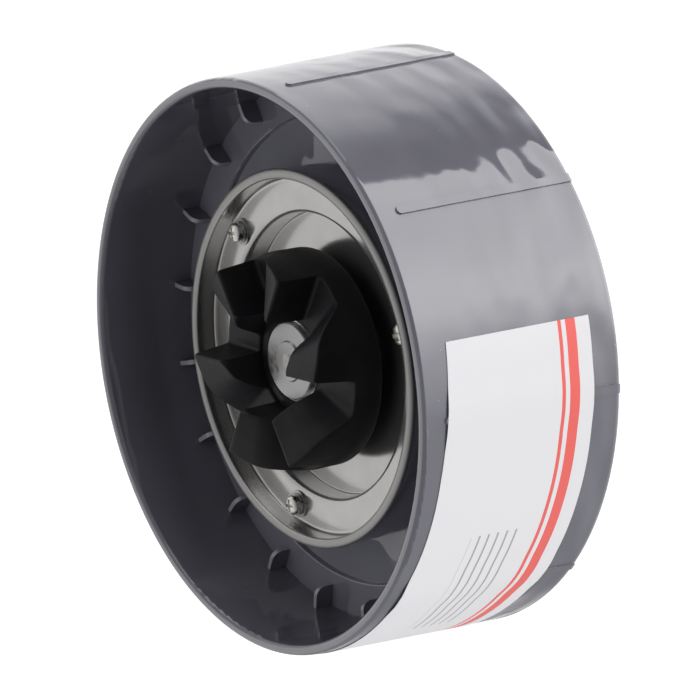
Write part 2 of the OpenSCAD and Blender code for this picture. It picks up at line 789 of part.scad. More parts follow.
collar();
jar_gasket();
steel_cover();
cover_screws();
spring_washers();
flat_washers();
bearing_housing();
housing_ring_seal();
drive_bush();
felt_ring();
jar_bush();
shaft_seal();
seal_circlip();
shaft();
drive_coupling();
coupling_insert();
back_washer();
front_washer();
thrust_washer();
slinger_washer();
lower_blade();
blade_spacer();
upper_blade();
blade_washer();
blade_nut();
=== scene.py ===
from math import cos, pi, radians, sin

import bpy
import numpy as np
from bpy.props import FloatProperty, FloatVectorProperty, IntProperty, PointerProperty
from bpy.types import Operator, Panel, PropertyGroup
from mathutils import Matrix, Vector


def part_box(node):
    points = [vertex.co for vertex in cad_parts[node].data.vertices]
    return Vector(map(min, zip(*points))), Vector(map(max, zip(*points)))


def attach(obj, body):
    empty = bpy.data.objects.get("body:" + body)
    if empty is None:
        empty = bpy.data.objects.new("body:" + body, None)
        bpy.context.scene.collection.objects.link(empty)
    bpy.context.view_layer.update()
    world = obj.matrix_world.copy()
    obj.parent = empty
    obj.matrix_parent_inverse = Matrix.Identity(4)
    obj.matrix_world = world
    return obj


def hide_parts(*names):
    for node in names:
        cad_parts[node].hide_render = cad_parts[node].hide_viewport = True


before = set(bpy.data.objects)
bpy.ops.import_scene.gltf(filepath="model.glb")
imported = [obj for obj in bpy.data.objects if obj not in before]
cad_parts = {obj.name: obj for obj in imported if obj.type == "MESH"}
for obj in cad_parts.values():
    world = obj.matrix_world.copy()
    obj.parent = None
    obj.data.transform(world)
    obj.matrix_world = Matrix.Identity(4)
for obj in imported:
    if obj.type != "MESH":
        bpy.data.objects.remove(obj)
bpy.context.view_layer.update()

bl_info = {
    "name": "Blade assembly dresser",
    "version": (1, 0, 0),
    "blender": (4, 5, 0),
    "location": "View3D > Sidebar > Blades",
    "description": "Finishes, fine pieces and studio for a blender's blade assembly",
    "category": "Object",
}

FULL_TURN = 2 * pi
MM = 0.001

COUPLING_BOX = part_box("drive_coupling")
SCREW_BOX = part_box("cover_screws")
SPRING_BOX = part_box("spring_washers")
COLLAR_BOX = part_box("collar")
COVER_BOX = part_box("steel_cover")
BACK_WASHER_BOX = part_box("back_washer")

# The collar's wall at its two rims and its grip ribs, as modelled
WALL_LOW = 65.7 * MM
WALL_HIGH = 63 * MM
RIB_COUNT = 9
RIB_HEIGHT = 0.35 * MM
RIB_WIDTH = 1.9 * MM
# The gusset fins between the wall and the outer floor, as modelled
FIN_COUNT = 20
FIN_WIDTH = 1.1 * MM
FIN_LEVELS = (24.0 * MM, 28.6 * MM)
FIN_RADII = (WALL_HIGH - 9 * MM, WALL_HIGH - 2.6 * MM)

# Depths below the drive rim between which painted light on the rim's face fades in, and heights above the
# jar's rim between which a lighter band fades out
PAINTED_LIGHT_DRIVE_RIM = (0.25 * MM, 0.1 * MM)
PALE_JAR_RIM_BAND = (0.2 * MM, 0.7 * MM)
# Dust specks on the collar: spacing, radius, and the share of the spaces that hold one
DUST = ((3.1 * MM, 0.14 * MM, 0.12), (1.3 * MM, 0.06 * MM, 0.1))
# Dust specks on rubber: spacing, radius and colour
RUBBER_DUST_SPACING, RUBBER_DUST_RADIUS = 2.4 * MM, 0.13 * MM
RUBBER_DUST_COLOUR = (0.3, 0.3, 0.3)

# Faces that meet at less than this look smooth
SMOOTH_BELOW = radians(32)

# Print on the sticker, as shares of its width and length: two bands and a block of bars. Rows of bars are
# counted over the whole width, and a bar fills its share of a row.
WIDE_BAND, NARROW_BAND = (0.1, 0.17), (0.2, 0.225)
BARS_ACROSS, BARS_ALONG = (0.375, 0.69), (0.2, 0.55)
BAR_ROWS, BAR_SHARE = 16.0, 0.2

# Towards the large soft lamp
KEY_DIRECTION = (0.9, -0.25, 0.12)
# Sky that gloss reflects above the horizon: its middle brightness, its slope and where it is brightest
SKY_MIDDLE, SKY_SLOPE, SKY_BRIGHT_SIDE = 0.39, 0.37, radians(75)
# Heights, as sines: where gloss turns from panels to sky, where the low light ends, where the top one starts
HORIZON = (-0.05, 0.12)
LOW_LIGHT_END = (sin(radians(3)), sin(radians(12)))
TOP_LIGHT_START = (sin(radians(50)), sin(radians(65)))
# Reflected light round the collar's wall, as azimuth in degrees and brightness: a dim side, a bright panel
# with a sharp edge at -42 degrees, and a dark gap beside it.
PANELS = (
    (-180, 0.68), (-153, 0.78), (-137, 0.84), (-124, 1.45), (-112, 2.0), (-104, 3.0), (-96, 3.8), (-86, 3.8),
    (-79, 3.5), (-71, 3.25), (-63, 3.0), (-47, 3.15), (-43.3, 2.95), (-41.8, 0.23), (-34, 0.15), (-28, 0.21),
    (-20, 0.47), (-13, 0.93), (-6, 1.28), (10, 1.42), (30, 1.45), (45, 1.4), (60, 1.1), (90, 0.68),
    (113, 0.51), (125, 0.4), (141, 0.35), (157, 0.55), (180, 0.68),
)


# Settings: sizes and colours that a user would change

def length(name, default, description):
    """A length in metres."""
    return FloatProperty(name=name, description=description, default=default, unit="LENGTH", precision=5)


def angle(name, degrees_value, description):
    """An angle that is written in degrees."""
    return FloatProperty(name=name, description=description, default=radians(degrees_value), subtype="ANGLE")


def share(name, default, description):
    """A number from 0 to 1."""
    return FloatProperty(name=name, description=description, default=default, min=0, max=1, subtype="FACTOR")


def colour(name, default, description):
    """A colour in linear values."""
    return FloatVectorProperty(name=name, description=description, default=default, size=3, min=0, max=1,
                               subtype="COLOR")


def number(name, default, description):
    """A plain number."""
    return FloatProperty(name=name, description=description, default=default)


class StudioSettings(PropertyGroup):
    """Camera, floor and light."""
    target: FloatVectorProperty(name="Target", description="Point that the camera looks at",
                                default=(0.00235, 0.00999, 0.01414), size=3, subtype="TRANSLATION")
    azimuth: angle("Azimuth", -103.758, "Direction in which the camera stands, from +X towards +Y")
    elevation: angle("Elevation", 34.502, "Height of the camera above the horizon")
    roll: angle("Roll", 100.929, "Turn of the picture's up direction towards the right")
    distance: length("Distance", 0.636, "From the target to the camera")
    lens: number("Lens", 144.95, "Focal length in millimetres, on the sensor")
    sensor: number("Sensor", 36, "Width of the sensor in millimetres")
    floor_size: length("Floor size", 6.0, "Side of the square floor")
    floor_shade: share("Floor shade", 0.35, "Part of the floor's brightness that a shadow takes away")
    side_light: number("Side light", 1.5, "Soft light from below and all round")
    top_light: number("Top light", 0.1, "Soft light from above")
    top_panel: number("Top panel", 1.6, "Soft light from straight above")
    key_power: FloatProperty(name="Key power", description="Power of the large soft lamp", default=0.8,
                             unit="POWER")
    key_size: length("Key size", 0.5, "Side of the large soft lamp")
    key_distance: length("Key distance", 0.7, "From the object to the large soft lamp")


class PlasticSettings(PropertyGroup):
    """The collar's glossy moulded plastic."""
    colour: colour("Colour", (0.146, 0.144, 0.176), "Charcoal of the moulding")
    # Lighter colour used as painted light: it lights the drive rim's face and paints highlights on the fin
    # edges, and a band at the jar's rim fades towards it
    rim: colour("Rim", (0.3, 0.298, 0.325), "Rubbed face of the rim")
    gloss: number("Gloss", 1.79, "Index of refraction of the polished wall")
    roughness: share("Roughness", 0.025, "Roughness of the polished wall")
    wave_size: length("Wave size", 12 * MM, "Width of the slow waves that moulding leaves in the wall")
    wave_depth: length("Wave depth", 0.5 * MM, "Depth of those waves before the noise's own share")
    ripple_size: length("Ripple size", 6.0 * MM, "Width of the finer ripples in the wall")
    ripple_stretch: number("Ripple stretch", 2.2, "How much longer they are round the wall")
    ripple_depth: length("Ripple depth", 1.5 * MM, "Depth of those ripples before the noise's share")
    dust: colour("Dust", (0.5, 0.5, 0.5), "Pale dust specks")


class MetalSettings(PropertyGroup):
    """Steel, housing and bush metals."""
    cover: colour("Cover", (0.62, 0.61, 0.6), "Pressed stainless steel of the cover")
    cover_roughness: share("Cover roughness", 0.17, "Roughness of the cover")
    screw: colour("Screws", (0.95, 0.94, 0.89), "Nickel-plated steel of screws")
    washer: colour("Washers", (0.56, 0.56, 0.57), "Zinc-plated steel of washers")
    shaft: colour("Shaft", (0.58, 0.57, 0.55), "Ground steel of the shaft")
    housing: colour("Housing", (0.6, 0.6, 0.62), "Turned light alloy of the bearing housing")
    bush: colour("Bushes", (0.55, 0.36, 0.16), "Sintered bronze of the bushes")
    blade: colour("Blades", (0.66, 0.66, 0.66), "Hardened steel of the blades")
    grind: length("Grinding lines", 0.12 * MM, "Spacing of the lines that grinding leaves on the blades")


class SoftSettings(PropertyGroup):
    """Rubber, felt and gasket."""
    coupling: colour("Coupling", (0.009, 0.009, 0.0115), "Black rubber of the coupling")
    coupling_roughness: share("Coupling roughness", 0.5, "Roughness of the coupling")
    seal: colour("Seals", (0.018, 0.018, 0.02), "Black rubber of the seals")
    gasket: colour("Gasket", (0.62, 0.62, 0.58), "Pale silicone rubber of the jar's gasket")
    felt: colour("Felt", (0.5, 0.43, 0.28), "Oil-soaked felt")


class CouplingSettings(PropertyGroup):
    """Sizes of the rubber coupling with its saw-tooth dogs."""
    dogs: IntProperty(name="Dogs", description="Number of dogs", default=6, min=3, max=8)
    radius: length("Radius", COUPLING_BOX[1][0], "Outer radius at the foot of the dogs")
    bottom: length("Bottom", COUPLING_BOX[0][2], "Level of the underside")
    tip: length("Tip", COUPLING_BOX[1][2], "Level of the dogs' crests")
    dog_height: length("Dog height", 10.1 * MM, "Height of the dogs above the gaps")
    taper: length("Taper", 0.95 * MM, "Inward lean of the outside over a dog's height")
    recess_radius: length("Recess radius", 9.5 * MM, "Radius of the recess in the middle")
    dog_inner_radius: length("Dog inner radius", 11.8 * MM, "Radius of the dogs' inner faces")
    recess_floor: length("Recess floor", BACK_WASHER_BOX[0][2], "Level of the recess's floor")
    corner: length("Inner corner", 2.0 * MM, "Radius of the dogs' round inner corner")
    edge: length("Edge", 0.5 * MM, "Radius of the moulded edges")
    crest_edge: length("Crest edge", 0.9 * MM, "Reach of the round crest and of the round feet of a dog")
    hub_radius: length("Hub radius", 7 * MM, "Radius of the steel insert's hub")
    flange_radius: length("Flange radius", 16 * MM, "Radius of the insert's flange inside the rubber")
    flange_level: length("Flange level", 1.2 * MM, "Height of that flange above the underside")
    flange_thickness: length("Flange thickness", 1.2 * MM, "Thickness of that flange")


class CoverSettings(PropertyGroup):
    """Sizes of the pressed steel cover, on the inside of its sheet."""
    thickness: length("Thickness", 0.8 * MM, "Thickness of the sheet")
    hole_radius: length("Hole radius", 11.2 * MM, "Radius of the hole round the bearing housing's neck")
    well_radius: length("Well radius", 31.7 * MM, "Inner radius of the well")
    wall_radius: length("Wall radius", 39.7 * MM, "Inner radius of the side wall")
    rim_radius: length("Rim radius", COVER_BOX[1][0], "Outer radius of the rim")
    well_level: length("Well level", 24.9 * MM, "Level of the well's floor")
    ring_level: length("Ring level", 30.9 * MM, "Level of the ring that the screws stand on")
    rim_level: length("Rim level", COVER_BOX[1][2], "Level of the rim's top")
    bend: length("Bend", 1.3 * MM, "Reach of the bends")
    bead_height: length("Bead height", 0.8 * MM, "Height of the rolled rim above the boss")


class WasherSettings(PropertyGroup):
    """Sizes of the washer at the bottom of the coupling's recess."""
    radius: length("Radius", 9.35 * MM, "Outer radius")
    hole_radius: length("Hole radius", 2.62 * MM, "Radius of its hole")
    bottom: length("Bottom", BACK_WASHER_BOX[0][2], "Level of its underside")
    top: length("Top", BACK_WASHER_BOX[1][2], "Level of its top")
    chamfer: length("Chamfer", 0.2 * MM, "Chamfer of its outer edges")


class ScrewSettings(PropertyGroup):
    """Sizes of the three cover screws and their spring washers."""
    count: IntProperty(name="Screws", description="Number of screws", default=3)
    first: angle("First", 18, "Angle of the first screw")
    circle: length("Circle", 36 * MM, "Radius of the circle that the screws stand on")
    seat: length("Seat", SPRING_BOX[1][2], "Level of the heads' underside")
    head_top: length("Head top", SCREW_BOX[1][2], "Level of the heads' top")
    tip: length("Tip", SCREW_BOX[0][2], "Level of the screws' tip")
    head_radius: length("Head radius", 2.3 * MM, "Radius of the pan head")
    thread_radius: length("Thread radius", 1.25 * MM, "Radius of the thread's crests")
    thread_depth: length("Thread depth", 0.28 * MM, "Depth of the thread")
    thread_pitch: length("Thread pitch", 0.9 * MM, "Advance of the thread in one turn")
    cross_reach: length("Cross reach", 1.38 * MM, "Reach of the cross recess from the screw's axis")
    cross_width: length("Cross width", 0.36 * MM, "Half the width of a slot of the cross recess")
    cross_depth: length("Cross depth", 1.0 * MM, "Depth of the cross recess")
    spring_bottom: length("Spring bottom", SPRING_BOX[0][2], "Level of the spring washers' underside")
    spring_outer: length("Spring outer", 2.5 * MM, "Outer radius of a spring washer")
    spring_inner: length("Spring inner", 1.4 * MM, "Inner radius of a spring washer")
    spring_gap: angle("Spring gap", 14, "Angle of the split in a spring washer")


class StickerSettings(PropertyGroup):
    """The paper sticker on the collar's wall."""
    first: angle("First", 166, "Angle of the end that lies on the far side")
    last: angle("Last", 254.3, "Angle of the end that lies towards the front")
    thickness: length("Thickness", 0.1 * MM, "Thickness of the paper")
    tent: length("Tent", 7.0 * MM, "Distance over which the paper stands off beside a rib")
    paper: colour("Paper", (0.84, 0.83, 0.86), "White coated paper")
    band: colour("Band", (0.92, 0.1, 0.08), "Printed bands")
    bar: colour("Bar", (0.32, 0.32, 0.34), "Printed thin bars")


class BladeAssemblySettings(PropertyGroup):
    """All settings of the assembly, one group for each kind."""
    studio: PointerProperty(type=StudioSettings)
    plastic: PointerProperty(type=PlasticSettings)
    metal: PointerProperty(type=MetalSettings)
    soft: PointerProperty(type=SoftSettings)
    coupling: PointerProperty(type=CouplingSettings)
    cover: PointerProperty(type=CoverSettings)
    washer: PointerProperty(type=WasherSettings)
    screws: PointerProperty(type=ScrewSettings)
    sticker: PointerProperty(type=StickerSettings)


# Node trees

class Tree:
    """Node tree of a material or world. Its methods add nodes and return the output that is wanted."""

    def __init__(self, owner):
        self.owner = owner
        owner.use_nodes = True
        self.nodes = owner.node_tree.nodes
        self.links = owner.node_tree.links
        self.nodes.clear()

    def add(self, kind, inputs=None, **settings):
        """A node of this kind. Inputs are given by name or number, as values or as other nodes' outputs."""
        node = self.nodes.new(kind)
        for name, value in settings.items():
            setattr(node, name, value)
        for name, value in (inputs or {}).items():
            if isinstance(value, bpy.types.NodeSocket):
                self.links.new(value, node.inputs[name])
            else:
                node.inputs[name].default_value = value
        return node

    def math(self, operation, *values):
        """Result of a Math node."""
        return self.add("ShaderNodeMath", dict(enumerate(values)), operation=operation).outputs["Value"]

    def product(self, first, *others):
        """Product of two or more values."""
        for other in others:
            first = self.math("MULTIPLY", first, other)
        return first

    def place(self):
        """Place on the piece in metres, as a vector."""
        return self.add("ShaderNodeTexCoord").outputs["Object"]

    def parts(self, vector):
        """X, Y and Z of a vector."""
        return self.add("ShaderNodeSeparateXYZ", {"Vector": vector}).outputs

    def radius(self, place):
        """Distance of a place from the shaft's axis."""
        x, y, z = self.parts(place)
        return self.math("SQRT", self.math("ADD", self.math("MULTIPLY", x, x), self.math("MULTIPLY", y, y)))

    def scaled(self, vector, factors):
        """A vector with each of its parts scaled."""
        node = self.add("ShaderNodeMapping", {"Vector": vector, "Scale": factors})
        return node.outputs["Vector"]

    def noise(self, vector, size, detail=2.0, roughness=0.5):
        """Soft noise from 0 to 1 whose features have about this size."""
        node = self.add("ShaderNodeTexNoise", {"Vector": vector, "Scale": 1 / size, "Detail": detail,
                                               "Roughness": roughness})
        return node.outputs[0]

    def lines(self, value, size, detail=2.0):
        """Noise of one number, such as rings of a radius or lines across a length."""
        node = self.add("ShaderNodeTexNoise", {"W": value, "Scale": 1 / size, "Detail": detail},
                        noise_dimensions="1D")
        return node.outputs[0]

    def within(self, value, low, high):
        """1 where the value lies between low and high."""
        return self.product(self.math("GREATER_THAN", value, low), self.math("LESS_THAN", value, high))

    def specks(self, place, spacing, radius, wanted):
        """1 on round specks: in this share of the cells of a random pattern there is one dot."""
        cell = self.add("ShaderNodeTexVoronoi", {"Vector": place, "Scale": 1 / spacing})
        near = self.math("LESS_THAN", cell.outputs["Distance"], radius / spacing)
        chance = self.add("ShaderNodeSeparateColor", {"Color": cell.outputs["Color"]}).outputs["Red"]
        return self.math("MULTIPLY", near, self.math("LESS_THAN", chance, wanted))

    def levels(self, value, low, high, to_low=0.0, to_high=1.0):
        """Value stretched from the range low to high onto the range to_low to to_high, and held there."""
        node = self.add("ShaderNodeMapRange", {"Value": value, "From Min": low, "From Max": high,
                                               "To Min": to_low, "To Max": to_high})
        return node.outputs["Result"]

    def mix(self, factor, a, b):
        """Colour a that turns into colour b as the factor goes from 0 to 1."""
        a, b = [c if isinstance(c, bpy.types.NodeSocket) else (*c, 1.0) for c in (a, b)]
        node = self.add("ShaderNodeMix", data_type="RGBA")
        for socket, value in ((0, factor), (6, a), (7, b)):
            if isinstance(value, bpy.types.NodeSocket):
                self.links.new(value, node.inputs[socket])
            else:
                node.inputs[socket].default_value = value
        return node.outputs[2]

    def mottled(self, value, low, high, colour, dark, light=1.0):
        """The colour made darker where the value is low, which turns lighter towards where it is high."""
        return self.mix(self.levels(value, low, high), tinted(colour, dark), tinted(colour, light))

    def ramp(self, value, stops):
        """Brightness that follows these stops, each a position from 0 to 1 and a brightness."""
        node = self.add("ShaderNodeValToRGB", {"Fac": value})
        elements = node.color_ramp.elements
        while len(elements) < len(stops):
            elements.new(0.5)
        for element, (position, brightness) in zip(elements, stops):
            element.position = position
            element.color = (brightness, brightness, brightness, 1)
        return node.outputs["Color"]

    def bump(self, *layers):
        """Normal bent by heights of 0 to 1, each given with its depth in metres."""
        normal = None
        for height, depth in layers:
            inputs = {"Height": height, "Distance": depth, "Strength": 1.0}
            if normal:
                inputs["Normal"] = normal
            normal = self.add("ShaderNodeBump", inputs).outputs["Normal"]
        return normal

    def principled(self, inputs):
        """The material, once its tree ends in a Principled shader with these inputs."""
        shader = self.add("ShaderNodeBsdfPrincipled", inputs)
        self.add("ShaderNodeOutputMaterial", {"Surface": shader.outputs["BSDF"]})
        return self.owner


def material_tree(name):
    """The tree of a new material."""
    return Tree(bpy.data.materials.new(name))


def tinted(colour, factor):
    """A colour made darker or lighter by a factor."""
    return [factor * part for part in colour]


# Finishes

def fin_edge_highlight_mask(tree, place):
    """1 on the narrow edges of the gusset fins, where the collar paints a highlight: inside a fin's width,
    only its edge is a surface.
    """
    x, y, height = tree.parts(place)
    radius = tree.radius(place)
    count = tree.math("MULTIPLY", tree.math("ARCTAN2", y, x), FIN_COUNT / FULL_TURN)
    offset = tree.math("ABSOLUTE", tree.math("SUBTRACT", count, tree.math("ROUND", count)))
    sideways = tree.math("MULTIPLY", tree.math("MULTIPLY", offset, radius), FULL_TURN / FIN_COUNT)
    half_share = 0.45
    return tree.product(tree.math("LESS_THAN", sideways, half_share * FIN_WIDTH),
                        tree.within(height, *FIN_LEVELS), tree.within(radius, *FIN_RADII))


def collar_plastic(plastic):
    """Glossy charcoal moulding with painted light on the drive rim's face, painted highlights on the fin
    edges and a lighter band at the jar's rim: its waves and ripples grow towards the jar's side.
    """
    tree = material_tree("collar_plastic")
    place = tree.place()
    x, y, height = tree.parts(place)
    rim_level = COLLAR_BOX[1][2]
    waves = tree.noise(place, plastic.wave_size, detail=1.0)
    round_wall = tree.math("MULTIPLY", tree.math("ARCTAN2", y, x), WALL_LOW / plastic.ripple_stretch)
    unrolled = tree.add("ShaderNodeCombineXYZ", {"X": round_wall, "Y": height}).outputs[0]
    ripples = tree.noise(unrolled, plastic.ripple_size, detail=0.3)
    waves_at_rim, ripples_at_rim, ripple_span_share = 0.4, 0.15, 0.8
    near_jar = tree.levels(height, 0.0, rim_level, 1.0, waves_at_rim)
    nearer_jar = tree.levels(height, 0.0, ripple_span_share * rim_level, 1.0, ripples_at_rim)
    on_wall = tree.levels(tree.radius(place), WALL_HIGH - 1.0 * MM, WALL_HIGH - 0.2 * MM)
    # Painted light: the drive rim's face is made lighter where light falls on it, and the fin edges get a
    # painted highlight; a band at the jar's rim turns lighter too
    painted_light_and_jar_band = tree.levels(height, *[rim_level - depth for depth in PAINTED_LIGHT_DRIVE_RIM])
    painted_light_and_jar_band = tree.math("MAXIMUM", painted_light_and_jar_band, fin_edge_highlight_mask(tree, place))
    painted_light_and_jar_band = tree.math("MAXIMUM", painted_light_and_jar_band, tree.levels(height, *PALE_JAR_RIM_BAND, 0.8, 0.0))
    wipes = tree.noise(tree.scaled(place, (1, 1, 0.15)), 3 * MM, detail=3.0)
    dust = tree.math("MAXIMUM", *[tree.specks(place, *kind) for kind in DUST])
    cloudy = tree.mottled(tree.noise(place, 20 * MM), 0.35, 0.65, plastic.colour, 0.94, 1.05)
    return tree.principled({
        # The base colour turns to the lighter rim colour on that mask: painted light and painted highlights
        "Base Color": tree.mix(tree.math("MULTIPLY", dust, 0.5), tree.mix(painted_light_and_jar_band, cloudy, plastic.rim),
                               plastic.dust),
        "Roughness": tree.math("ADD", tree.levels(wipes, 0.45, 0.75, 0.0, 0.02),
                               tree.levels(dust, 0.0, 1.0, plastic.roughness, 0.6)),
        "IOR": plastic.gloss,
        "Normal": tree.bump((tree.math("MULTIPLY", waves, near_jar), plastic.wave_depth),
                            (tree.product(nearer_jar, on_wall, ripples), plastic.ripple_depth),
                            (tree.noise(place, 0.5 * MM), 0.001 * MM)),
    })


def turned_metal(name, colour, roughness, ring_spacing, ring_depth, dull_from=1.0):
    """Metal with fine rings round the axis, as turning, pressing or polishing leaves them.

    From the radius dull_from outwards it is darker and rougher.
    """
    tree = material_tree(name)
    place = tree.place()
    radius = tree.radius(place)
    rings = tree.lines(radius, ring_spacing)
    patches = tree.noise(place, 6 * MM, detail=3.0)
    bright = tree.mottled(patches, 0.3, 0.7, colour, 0.95, 1.04)
    dull_shade, dull_roughness, fade = 0.72, 0.25, 0.5 * MM
    dull = tree.levels(radius, dull_from, dull_from + fade)
    return tree.principled({
        "Base Color": tree.mix(dull, bright, tinted(colour, dull_shade)),
        "Metallic": 0.93,
        "Roughness": tree.math("ADD", tree.math("MULTIPLY", dull, dull_roughness),
                               tree.levels(tree.lines(radius, 4 * ring_spacing, detail=4.0), 0.25, 0.75,
                                           0.85 * roughness, 1.2 * roughness)),
        "Normal": tree.bump((patches, 0.02 * MM), (rings, ring_depth)),
    })


def plated_metal(name, colour, roughness):
    """Small plated pieces: slightly mottled, with faint scratches in all directions."""
    tree = material_tree(name)
    place = tree.place()
    mottle = tree.noise(place, 1.2 * MM, detail=4.0)
    scratches = tree.noise(tree.scaled(place, (1, 6, 2)), 0.6 * MM, detail=3.0)
    return tree.principled({
        "Base Color": tree.mottled(mottle, 0.35, 0.65, colour, 0.88, 1.06),
        "Metallic": 1.0,
        "Roughness": tree.levels(mottle, 0.3, 0.7, 0.8 * roughness, 1.3 * roughness),
        "Normal": tree.bump((mottle, 0.004 * MM), (scratches, 0.002 * MM)),
    })


def blade_steel(metal):
    """Blades ground along their arms: fine lines across the sheet and a bright even sheen."""
    tree = material_tree("blade_steel")
    place = tree.place()
    along, across, _ = tree.parts(place)
    grain = tree.add("ShaderNodeTexNoise", {"Vector": tree.scaled(place, (0.05, 1, 1)),
                                            "Scale": 1 / metal.grind, "Detail": 2.0}).outputs[0]
    crossing = tree.lines(tree.math("ADD", across, tree.math("MULTIPLY", along, 0.2)), 2.5 * metal.grind)
    return tree.principled({
        "Base Color": tree.mottled(grain, 0.3, 0.7, metal.blade, 0.95, 1.03),
        "Metallic": 1.0,
        "Roughness": tree.levels(crossing, 0.3, 0.7, 0.24, 0.34),
        "Normal": tree.bump((grain, 0.0012 * MM)),
    })


def sintered_bronze(metal):
    """Porous bearing bronze: dark pores between pressed grains."""
    tree = material_tree("bush_bronze")
    grains = tree.noise(tree.place(), 0.25 * MM, detail=3.0)
    return tree.principled({
        "Base Color": tree.mottled(grains, 0.4, 0.6, metal.bush, 0.45),
        "Metallic": 1.0,
        "Roughness": tree.levels(grains, 0.3, 0.7, 0.5, 0.3),
        "Normal": tree.bump((grains, 0.02 * MM)),
    })


def rubber(name, colour, roughness, dust_share):
    """Moulded rubber: a fine matt grain, slow unevenness and pale dust."""
    tree = material_tree(name)
    place = tree.place()
    grain = tree.noise(place, 0.18 * MM, detail=2.0)
    uneven = tree.noise(place, 5 * MM, detail=2.0)
    dust = tree.specks(place, RUBBER_DUST_SPACING, RUBBER_DUST_RADIUS, dust_share)
    tone = tree.mottled(uneven, 0.35, 0.65, colour, 0.8, 1.25)
    return tree.principled({
        "Base Color": tree.mix(tree.math("MULTIPLY", dust, 0.6), tone, RUBBER_DUST_COLOUR),
        "Roughness": tree.levels(grain, 0.3, 0.7, 0.85 * roughness, 1.15 * roughness),
        "Specular IOR Level": 0.35,
        "Normal": tree.bump((uneven, 0.12 * MM), (grain, 0.008 * MM)),
    })


def silicone(soft):
    """Pale silicone rubber that lets a little light in."""
    tree = material_tree("gasket_rubber")
    place = tree.place()
    cloud = tree.noise(place, 8 * MM, detail=2.0)
    return tree.principled({
        "Base Color": tree.mottled(cloud, 0.3, 0.7, soft.gasket, 0.93),
        "Roughness": tree.levels(tree.noise(place, 0.8 * MM), 0.3, 0.7, 0.4, 0.55),
        "Subsurface Weight": 0.15,
        "Subsurface Scale": 1.0 * MM,
        "Normal": tree.bump((cloud, 0.05 * MM)),
    })


def oiled_felt(soft):
    """Felt: matted fibres with darker oil between them."""
    tree = material_tree("felt")
    fibres = tree.noise(tree.scaled(tree.place(), (1, 1, 3)), 0.3 * MM, detail=5.0, roughness=0.7)
    return tree.principled({
        "Base Color": tree.mottled(fibres, 0.35, 0.65, soft.felt, 0.5),
        "Roughness": 0.85,
        "Sheen Weight": 0.3,
        "Normal": tree.bump((fibres, 0.1 * MM)),
    })


def printed_paper(sticker):
    """White coated paper with two printed bands and a few thin bars, placed by the sticker's own UV map."""
    tree = material_tree("sticker_paper")
    along, across, _ = tree.parts(tree.add("ShaderNodeTexCoord").outputs["UV"])
    bands = tree.math("MAXIMUM", tree.within(across, *WIDE_BAND), tree.within(across, *NARROW_BAND))
    rows = tree.math("LESS_THAN", tree.math("FRACT", tree.math("MULTIPLY", across, BAR_ROWS)), BAR_SHARE)
    bars = tree.product(rows, tree.within(across, *BARS_ACROSS), tree.within(along, *BARS_ALONG))
    fibres = tree.noise(tree.place(), 0.8 * MM, detail=3.0)
    white = tree.mix(fibres, tinted(sticker.paper, 0.98), sticker.paper)
    inked = tree.mix(tree.math("MULTIPLY", bands, 0.95), white, sticker.band)
    return tree.principled({
        "Base Color": tree.mix(tree.math("MULTIPLY", bars, 0.85), inked, sticker.bar),
        "Roughness": tree.levels(fibres, 0.3, 0.7, 0.38, 0.46),
        "Specular IOR Level": 0.4,
        "Normal": tree.bump((tree.noise(tree.place(), 9 * MM), 0.12 * MM)),
    })


# Shapes

def dress(material, *nodes):
    """Gives CAD nodes this material."""
    for node in nodes:
        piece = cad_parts[node]
        if not piece.material_slots:
            piece.data.materials.append(material)
        for slot in piece.material_slots:
            slot.material = material


def ring_grid(rows, columns, closed=False):
    """Quads between rows of points, each row a closed ring; a closed grid joins its last row to its first.

    Their normal is the direction along a row times the direction from row to row.
    """
    i = np.arange(rows if closed else rows - 1)[:, None]
    j = np.arange(columns)[None, :]
    here, above = i * columns, (i + 1) % rows * columns
    following = (j + 1) % columns
    return np.stack([here + j, here + following, above + following, above + j], axis=-1).reshape(-1, 4)


def fan(ring, middle):
    """Triangles from a ring of point numbers to one middle point."""
    return np.stack([ring, np.roll(ring, -1), np.full_like(ring, middle)], axis=-1)


def turned(points, turn):
    """Points turned round the axis."""
    c, s = cos(turn), sin(turn)
    return points @ np.array([[c, s, 0.0], [-s, c, 0.0], [0.0, 0.0, 1.0]])


def add_piece(name, points, faces, material, body, slot, *nodes, uv=None):
    """A new piece on a CAD body, in place of these CAD nodes. uv holds one pair for each point."""
    mesh = bpy.data.meshes.new(name)
    mesh.from_pydata(points, [], faces)
    if uv is not None:
        corners = np.empty(len(mesh.loops), dtype=np.int32)
        mesh.loops.foreach_get("vertex_index", corners)
        mesh.uv_layers.new(name="UVMap").data.foreach_set("uv", uv[corners].ravel().astype(np.float32))
    mesh.materials.append(material)
    mesh.shade_smooth()
    mesh.set_sharp_from_angle(angle=SMOOTH_BELOW)
    piece = bpy.data.objects.new(name, mesh)
    bpy.context.scene.collection.objects.link(piece)
    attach(piece, body)
    if nodes:
        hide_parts(*nodes)
    return piece


def rounded(before, corner, after, reach, steps=7):
    """A corner replaced by a parabola between the points at this reach on its two sides."""
    t = np.linspace(0, 1, steps)[:, None]
    start = corner + (before - corner) * reach / np.linalg.norm(before - corner)
    end = corner + (after - corner) * reach / np.linalg.norm(after - corner)
    return (1 - t) ** 2 * start + 2 * t * (1 - t) * corner + t ** 2 * end


def cylindrical(radius, angles, level):
    """Points at these radii, angles and levels, each one number or an array."""
    x, y = radius * np.cos(angles), radius * np.sin(angles)
    return np.stack(np.broadcast_arrays(x, y, level), axis=-1)


def joined(parts):
    """Rows of radius and of level, each stacked from all parts."""
    return [np.concatenate(arrays) for arrays in zip(*parts)]


def capped_tube(rows, columns):
    """Faces of a grid of closed rings with its two ends closed."""
    last = (rows - 1) * columns
    ends = [list(range(columns))[::-1], list(range(last, last + columns))]
    return [*ring_grid(rows, columns).tolist(), *ends]


